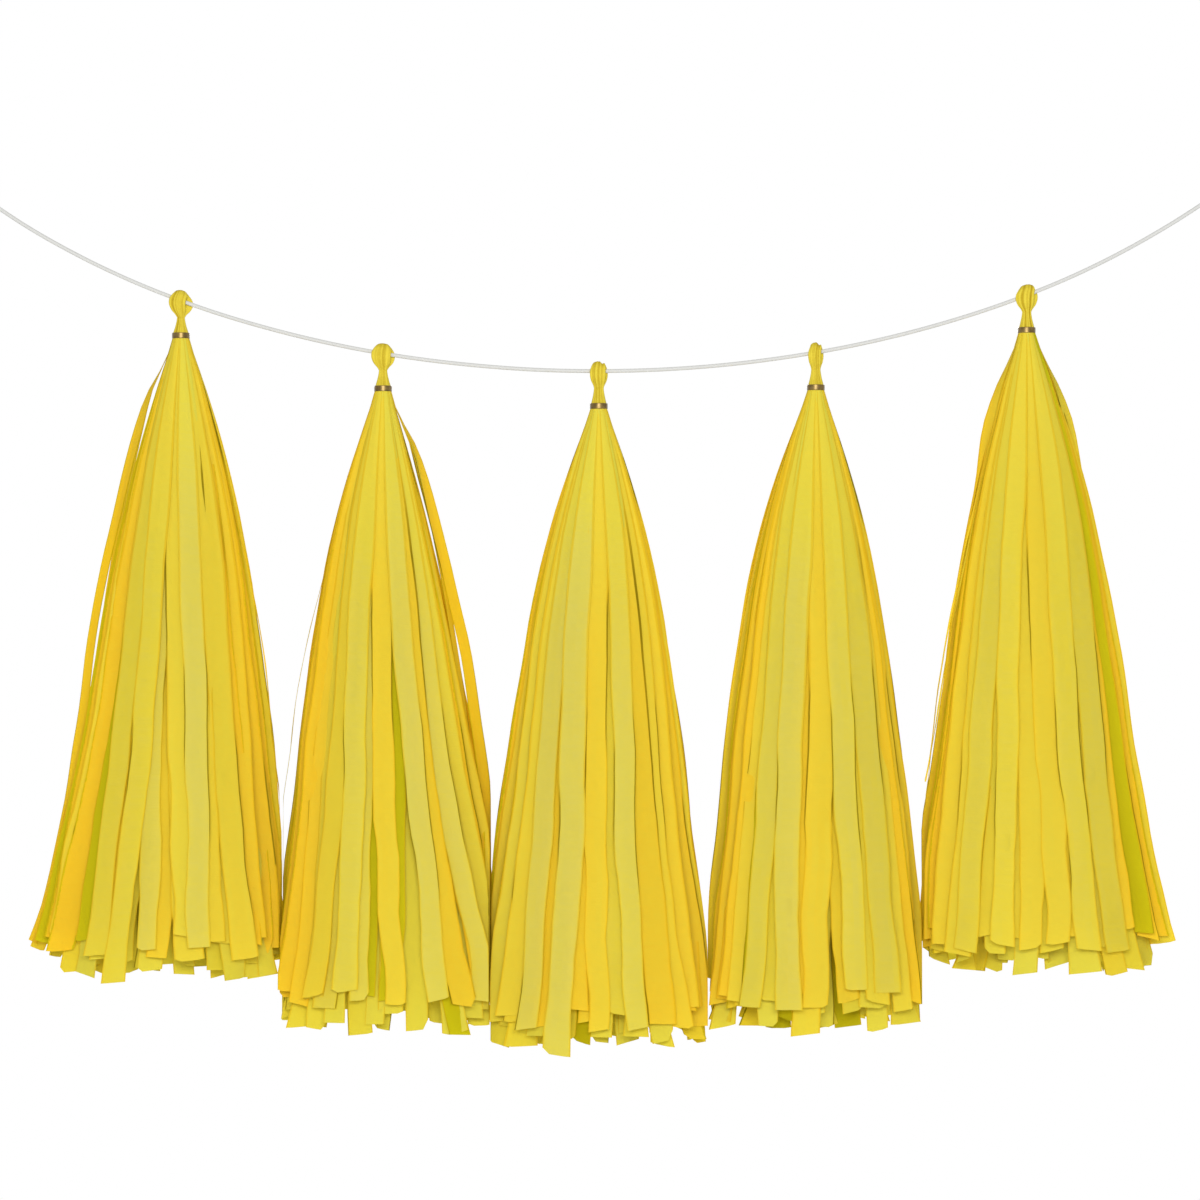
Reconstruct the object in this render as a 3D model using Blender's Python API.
# Tassel garland: five tissue paper tassels threaded on one cord that hangs in a shallow curve.
# Each tassel is bunched tissue folded over the cord in a loop, pinched to a neck, held by a
# gold ring and cut below it into long hanging strips, an outer sheet round an inner one.
# Metres, +Z up, +X along the garland. The origin is the point where the left hanging loop
# bears on its hook. The front is the -Y side.

import random
from math import atan, cos, exp, pi, radians, sin, tanh

import bmesh
import bpy
from mathutils import Vector

# The cord: its thickness, the stretch between its two knots, and how deep it hangs
cord_diameter = 0.0020
cord_span = 0.6287
cord_sag = 0.0889
cord_facet_steps = 56

# The cord's route, as shares of its span along it and of its sag below its left end
cord_route_shares = [
    (0.00, 0.000), (0.04, 0.186), (0.08, 0.344), (0.12, 0.479), (0.16, 0.593), (0.20, 0.690),
    (0.25, 0.789), (0.30, 0.868), (0.35, 0.927), (0.40, 0.968), (0.45, 0.993), (0.50, 1.000),
    (0.55, 0.991), (0.60, 0.965), (0.65, 0.921), (0.70, 0.860), (0.75, 0.779), (0.80, 0.677),
    (0.84, 0.578), (0.88, 0.462), (0.92, 0.324), (0.96, 0.163), (1.00, -0.020),
]

# The tied loop at each end, and the knot that closes it
hanging_loop_reach = 0.0200
hanging_loop_half_width = 0.0042
hanging_loop_steps = 20
knot_wraps = 3
knot_pitch_share = 1.08
knot_ridge_share = 0.30
knot_sides = 12

# Spaces between pieces
seat_gap = 0.0003
saddle_gap = 0.0004
eye_side_gap = 0.0006
sheet_gap = 0.0008
neighbour_gap = 0.0012

# Where the tassels hang, as shares of the cord's span
tassel_place_shares = [0.162, 0.325, 0.499, 0.674, 0.844]

# The folded head: the loop of bunched tissue that straddles the cord
head_width = 0.0116
head_thickness = 0.0034
neck_below_cord = 0.0085
pinch_width = 0.0042
knuckle_radius = 0.0015
head_lean_share = 0.35
head_sides = 18
head_crease_share = 0.32
neck_crease_share = 0.10

# How wide each head is, and how far its front strand lies to one side of its back strand
head_width_shares = [1.00, 1.00, 0.78, 0.70, 1.02]
strand_offset_shares = [0.14, 0.08, 0.05, 0.07, 0.11]

# One leg of the head from its crown to its tip: shares of the drop, of the eye's opening,
# of the widening above the pinch and of the thickness
head_leg_shares = [
    (0.00, 0.00, 0.52, 1.00),
    (0.08, 0.00, 0.84, 0.95),
    (0.26, 0.80, 1.00, 0.84),
    (0.50, 1.00, 0.92, 0.78),
    (0.76, 0.55, 0.42, 0.66),
    (1.00, 0.00, 0.00, 0.48),
]

# The neck under the head, and the gold ring round its foot
neck_sides = 12
neck_length = 0.0079
ring_outer_radius = 0.0045
ring_wall = 0.0006
ring_height = 0.0029
ring_crown = 0.00015
ring_sides = 20

# The neck from its hinge down to its foot: shares of the drop and of the widening
neck_flare_shares = [(0.26, 0.12), (0.58, 0.50), (0.86, 0.90)]

# The fringe: tissue strips that hang from a gathered band inside the ring
fringe_length = 0.3260
strip_width = 0.0120
strip_thickness = 0.0002
strip_wave = 0.0022
strip_sway = 0.0016
strip_turn_degrees = 14
strip_fill_share = 0.88
strip_station_shares = [0.035, 0.090, 0.175, 0.300, 0.480, 0.720, 1.000]

# The shape of the skirt: half its width at depth d is
# band radius + slope * d + belly * tanh(d / belly_depth)
skirt_slope_share = 0.10
skirt_belly = 0.0255
skirt_belly_depth = 0.075
skirt_depth_share = 0.84
end_flare = 0.0140

# Outer and inner sheet: number of strips, how far out they hang, and the shortest and longest
outer_strips = 18
outer_reach_share = 1.00
outer_length_shares = (0.940, 0.978)
inner_strips = 9
inner_reach_share = 0.50
inner_length_shares = (0.970, 1.000)

# Sizes that follow from those above
cord_radius = cord_diameter / 2
knot_length = knot_wraps * knot_pitch_share * cord_diameter
knot_waist_radius = cord_diameter + seat_gap
knot_radius = knot_waist_radius + knot_ridge_share * cord_diameter
ring_inner_radius = ring_outer_radius - ring_wall
neck_foot_width = 2 * (ring_inner_radius - seat_gap)
outer_band_radius = ring_inner_radius - seat_gap - strip_thickness / 2
inner_band_radius = outer_band_radius - sheet_gap


def cord_heading_at_start():
    # The angle below the horizontal at which the cord leaves its left knot
    along, drop = cord_route_shares[1]
    return atan(drop * cord_sag / (along * cord_span))


def cord_route():
    # The cord's own points, from the left knot to the right one, as (x, z)
    held_back = hanging_loop_reach - cord_radius + 2 * seat_gap + knot_length
    heading = cord_heading_at_start()
    start_x = held_back * cos(heading)
    start_z = -held_back * sin(heading)
    return [(start_x + along * cord_span, start_z - drop * cord_sag)
            for along, drop in cord_route_shares]


def cord_at(x):
    # Height and slope of the smooth curve through the route's points
    route = cord_route()
    last = len(route) - 1
    slopes = []
    for i in range(last + 1):
        before, after = route[max(i - 1, 0)], route[min(i + 1, last)]
        slopes.append((after[1] - before[1]) / (after[0] - before[0]))
    i = 0
    while i < last - 1 and x > route[i + 1][0]:
        i += 1
    (x0, z0), (x1, z1) = route[i], route[i + 1]
    run = x1 - x0
    t = (x - x0) / run
    height = ((1 + 2 * t) * (1 - t) ** 2 * z0 + t * (1 - t) ** 2 * run * slopes[i]
              + t * t * (3 - 2 * t) * z1 + t * t * (t - 1) * run * slopes[i + 1])
    slope = (6 * t * (t - 1) * (z0 - z1) / run + (1 - t) * (1 - 3 * t) * slopes[i]
             + t * (3 * t - 2) * slopes[i + 1])
    return height, slope


def tassel_x(i):
    return cord_route()[0][0] + tassel_place_shares[i] * cord_span


def material(name, color, roughness, metallic=0.0):
    made = bpy.data.materials.new(name)
    made.use_nodes = True
    shader = made.node_tree.nodes["Principled BSDF"]
    shader.inputs["Base Color"].default_value = (*color, 1.0)
    shader.inputs["Roughness"].default_value = roughness
    shader.inputs["Metallic"].default_value = metallic
    return made


def add_object(name, mesh, finish, location=(0, 0, 0)):
    obj = bpy.data.objects.new(name, mesh)
    obj.location = location
    mesh.materials.append(finish)
    bpy.context.scene.collection.objects.link(obj)
    return obj


def mesh_from(bm, name):
    mesh = bpy.data.meshes.new(name)
    bm.to_mesh(mesh)
    bm.free()
    mesh.shade_smooth()
    mesh.set_sharp_from_angle(angle=pi / 4)
    return mesh


def lofted(name, sections):
    # A closed solid through a row of sections with the same number of points
    bm = bmesh.new()
    loops = [[bm.verts.new(p) for p in section] for section in sections]
    for lower, upper in zip(loops, loops[1:]):
        for j in range(len(lower)):
            k = (j + 1) % len(lower)
            bm.faces.new((lower[j], lower[k], upper[k], upper[j]))
    bm.faces.new(loops[0])
    bm.faces.new(loops[-1])
    bmesh.ops.recalc_face_normals(bm, faces=bm.faces)
    return mesh_from(bm, name)


def turned(name, profile, sides):
    # A closed solid from a closed profile of (radius, height), spun round Z
    bm = bmesh.new()
    points = [bm.verts.new((r, 0, z)) for r, z in profile]
    rim = [bm.edges.new((points[j], points[(j + 1) % len(points)])) for j in range(len(points))]
    bmesh.ops.spin(bm, geom=points + rim, axis=(0, 0, 1), cent=(0, 0, 0), steps=sides,
                   angle=2 * pi, use_merge=True)
    bmesh.ops.recalc_face_normals(bm, faces=bm.faces)
    return mesh_from(bm, name)


def cord_object(name, points, finish):
    curve = bpy.data.curves.new(name, "CURVE")
    curve.dimensions = "3D"
    curve.bevel_depth = cord_radius
    curve.bevel_resolution = 2
    curve.use_fill_caps = True
    spline = curve.splines.new("POLY")
    spline.points.add(len(points) - 1)
    for point, place in zip(spline.points, points):
        point.co = (*place, 1)
    obj = bpy.data.objects.new(name, curve)
    curve.materials.append(finish)
    bpy.context.scene.collection.objects.link(obj)
    return obj


def make_cord(finish):
    first, last = cord_route()[0][0], cord_route()[-1][0]
    places = []
    for step in range(cord_facet_steps + 1):
        x = first + (last - first) * step / cord_facet_steps
        places.append((x, 0, cord_at(x)[0]))
    cord_object("string", places, finish)


def end_frame(side):
    # Where the cord ends on this side (-1 left, 1 right) and the way out from there
    x, _ = cord_route()[0 if side < 0 else -1]
    z, slope = cord_at(x)
    out = Vector((side, 0, side * slope)).normalized()
    return Vector((x, 0, z)), out


def make_knot(side, finish):
    # A wrapped knot: a turned barrel with one ridge for each wrap of the cord
    foot, out = end_frame(side)
    steps = knot_wraps * 4
    profile = []
    for j in range(steps + 1):
        swell = abs(sin(pi * knot_wraps * j / steps))
        radius = knot_waist_radius + (knot_radius - knot_waist_radius) * swell
        profile.append((radius, knot_length * j / steps))
    sections = []
    for radius, height in profile:
        ring = [2 * pi * j / knot_sides for j in range(knot_sides)]
        sections.append([(radius * cos(a), radius * sin(a), height) for a in ring])
    name = "knot_left" if side < 0 else "knot_right"
    mesh = lofted(name, sections)
    turn = Vector((0, 0, 1)).rotation_difference(out).to_matrix().to_4x4()
    mesh.transform(turn)
    add_object(name, mesh, finish, foot + out * seat_gap)


def make_hanging_loop(side, finish):
    # The tied loop: out of the knot, round the hook and back beside itself
    foot, out = end_frame(side)
    start = foot + out * (seat_gap + knot_length + seat_gap)
    across = Vector((-out.z, 0, out.x))
    leg_offset = cord_radius + seat_gap / 2
    places = []
    for step in range(hanging_loop_steps + 1):
        t = step / hanging_loop_steps
        along = hanging_loop_reach * sin(pi * t)
        sideways = leg_offset * cos(pi * t) + hanging_loop_half_width * sin(2 * pi * t) * sin(pi * t)
        places.append(start + out * along + across * sideways)
    cord_object("hanging_loop_left" if side < 0 else "hanging_loop_right", places, finish)


def creased_section(width, thickness, sides, crease_share):
    # One cross-section of bunched tissue, as (across, through) pairs: an oval with every
    # second point pressed in
    points = []
    for j in range(sides):
        a = 2 * pi * j / sides
        fold = 1 - crease_share * (j % 2)
        points.append((width / 2 * cos(a), thickness / 2 * sin(a) * fold))
    return points


def make_head(i, finish):
    # The loop: up the front, over the cord and down the back, leaning with the cord
    x = tassel_x(i)
    height, slope = cord_at(x)
    offset = head_width * strand_offset_shares[i]
    widening = head_width * head_width_shares[i] - 2 * offset - pinch_width
    crown_width = pinch_width + widening * head_leg_shares[0][2]
    slope_rise = abs(slope) * (1 - head_lean_share) * crown_width / 4
    crown_z = cord_radius + saddle_gap + slope_rise + head_thickness / 2
    tip_z = knuckle_radius + seat_gap - neck_below_cord
    legs = [(-1, row) for row in reversed(head_leg_shares)] + [(1, row) for row in head_leg_shares[1:]]
    path = []
    for side, (drop, opening, _, thick) in legs:
        spread = seat_gap / 2 + opening * (cord_radius + eye_side_gap) + head_thickness * thick / 2
        path.append(Vector((0, side * spread if drop else 0, crown_z - drop * (crown_z - tip_z))))
    last = len(path) - 1
    sections = []
    for n, (side, (drop, opening, wide, thick)) in enumerate(legs):
        way = path[min(n + 1, last)] - path[max(n - 1, 0)]
        if n in (0, last):
            way = Vector((0, 0, -side))
        through = Vector((0, way.z, -way.y)).normalized()
        shift = offset * side * opening
        lean = slope * head_lean_share * (1 - drop)
        section = []
        for across, out in creased_section(pinch_width + widening * wide, head_thickness * thick,
                                           head_sides, head_crease_share):
            place = path[n] + through * out
            place.x = shift + across
            place.z += lean * (shift + across)
            section.append(place)
        sections.append(section)
    add_object(f"loop_{i + 1}", lofted(f"loop_{i + 1}", sections), finish, (x, 0, height))


def make_neck(i, finish):
    # A rounded knuckle under the head, flaring down to its foot inside the ring
    x = tassel_x(i)
    hinge_z = cord_at(x)[0] - neck_below_cord
    foot_z = -(neck_length + ring_height / 2 - seat_gap / 2)
    sections = []
    for angle_share in (0.12, 0.40, 0.70, 1.00):
        a = angle_share * pi / 2
        width = pinch_width * (1 + sin(a)) / 2
        sections.append([(p, q, knuckle_radius * cos(a))
                         for p, q in creased_section(width, 2 * knuckle_radius * sin(a), neck_sides, 0)])
    for drop, widening in neck_flare_shares + [(1, 1), (foot_z / -neck_length, 1)]:
        width = pinch_width + (neck_foot_width - pinch_width) * widening
        thickness = 2 * knuckle_radius + (neck_foot_width - 2 * knuckle_radius) * widening
        sections.append([(p, q, -neck_length * drop)
                         for p, q in creased_section(width, thickness, neck_sides, neck_crease_share)])
    add_object(f"neck_{i + 1}", lofted(f"neck_{i + 1}", sections), finish, (x, 0, hinge_z))


def ring_top(i):
    return cord_at(tassel_x(i))[0] - neck_below_cord - neck_length


def make_ring(i, finish):
    # A thin metal band with a slightly crowned outside and eased edges
    r, h, ease = ring_outer_radius, ring_height, ring_crown
    profile = [(ring_inner_radius, 0), (r - 2 * ease, 0), (r - ease, -ease), (r, -h / 2),
               (r - ease, ease - h), (r - 2 * ease, -h), (ring_inner_radius, -h)]
    add_object(f"gold_ring_{i + 1}", turned(f"gold_ring_{i + 1}", profile, ring_sides), finish,
               (tassel_x(i), 0, ring_top(i)))


def slab_half_width(i, side):
    # How far the skirt may reach before it meets its neighbour's
    j = i + side
    if j < 0 or j >= len(tassel_place_shares):
        return None
    return abs(tassel_x(j) - tassel_x(i)) / 2 - neighbour_gap / 2


def skirt_spread(depth):
    return skirt_slope_share * depth + skirt_belly * tanh(depth / skirt_belly_depth)


def skirt_half_width(i, side, depth):
    free = outer_band_radius + skirt_spread(depth)
    room = slab_half_width(i, side)
    if room is None:
        return free + end_flare * (depth / fringe_length) ** 2
    strip_play = strip_wave + strip_thickness + strip_width / 2 * sin(radians(strip_turn_degrees))
    return min(free, room - strip_play)


def skirt_half_depth(depth):
    return outer_band_radius + skirt_spread(depth) * skirt_depth_share


def make_fringe(kind, i, strips, band_radius, reach_share, length_shares, finish):
    # One sheet: a gathered band inside the ring, cut below it into hanging strips
    dice = random.Random(f"{kind} {i}")
    bm = bmesh.new()
    band_top = -(ring_height / 2 + seat_gap / 2)
    band_foot = -ring_height
    angles = [2 * pi * k / strips for k in range(strips)]
    top = [bm.verts.new((band_radius * cos(a), band_radius * sin(a), band_top)) for a in angles]
    foot = [bm.verts.new((band_radius * cos(a), band_radius * sin(a), band_foot)) for a in angles]
    for k in range(strips):
        n = (k + 1) % strips
        bm.faces.new((top[k], top[n], foot[n], foot[k]))
        theta = angles[k] + pi / strips
        side = 1 if cos(theta) > 0 else -1
        length = fringe_length * dice.uniform(*length_shares)
        turn = radians(dice.uniform(-strip_turn_degrees, strip_turn_degrees))
        wave_phase = dice.uniform(0, 2 * pi)
        sway_phase = dice.uniform(0, 2 * pi)
        edge = (foot[k], foot[n])
        for share in strip_station_shares:
            depth = length * share
            wide, deep = skirt_half_width(i, side, depth), skirt_half_depth(depth)
            closed_in = exp(-depth / skirt_belly_depth)
            reach = reach_share + (band_radius / outer_band_radius - reach_share) * closed_in
            along = Vector((-sin(theta) * wide, cos(theta) * deep, 0)).normalized()
            out = Vector((along.y, -along.x, 0))
            place = Vector((cos(theta) * wide * reach, sin(theta) * deep * reach, band_foot - depth))
            place += out * strip_wave * share * sin(2 * pi * share + wave_phase)
            place += along * strip_sway * share * share * sin(pi * share + sway_phase)
            room = pi * (wide + deep) * reach / strips * strip_fill_share
            tilt = turn * share
            half = (along * cos(tilt) + out * sin(tilt)) * min(strip_width, room) / 2
            lower = (bm.verts.new(place - half), bm.verts.new(place + half))
            bm.faces.new((edge[0], edge[1], lower[1], lower[0]))
            edge = lower
    bmesh.ops.recalc_face_normals(bm, faces=bm.faces)
    name = f"{kind}_fringe_{i + 1}"
    obj = add_object(name, mesh_from(bm, name), finish, (tassel_x(i), 0, ring_top(i)))
    sheet = obj.modifiers.new("tissue", "SOLIDIFY")
    sheet.thickness = strip_thickness
    sheet.offset = 0


def build():
    for obj in list(bpy.data.objects):
        bpy.data.objects.remove(obj)
    cord_finish = material("string", (0.72, 0.72, 0.68), 0.85)
    tissue = material("tissue", (0.80, 0.62, 0.06), 0.75)
    inner_tissue = material("inner_tissue", (0.60, 0.50, 0.03), 0.80)
    gold = material("gold", (0.72, 0.50, 0.20), 0.22, 1.0)
    make_cord(cord_finish)
    for side in (-1, 1):
        make_knot(side, cord_finish)
        make_hanging_loop(side, cord_finish)
    for i in range(len(tassel_place_shares)):
        make_head(i, tissue)
        make_neck(i, tissue)
        make_ring(i, gold)
        make_fringe("outer", i, outer_strips, outer_band_radius, outer_reach_share,
                    outer_length_shares, tissue)
        make_fringe("inner", i, inner_strips, inner_band_radius, inner_reach_share,
                    inner_length_shares, inner_tissue)


build()
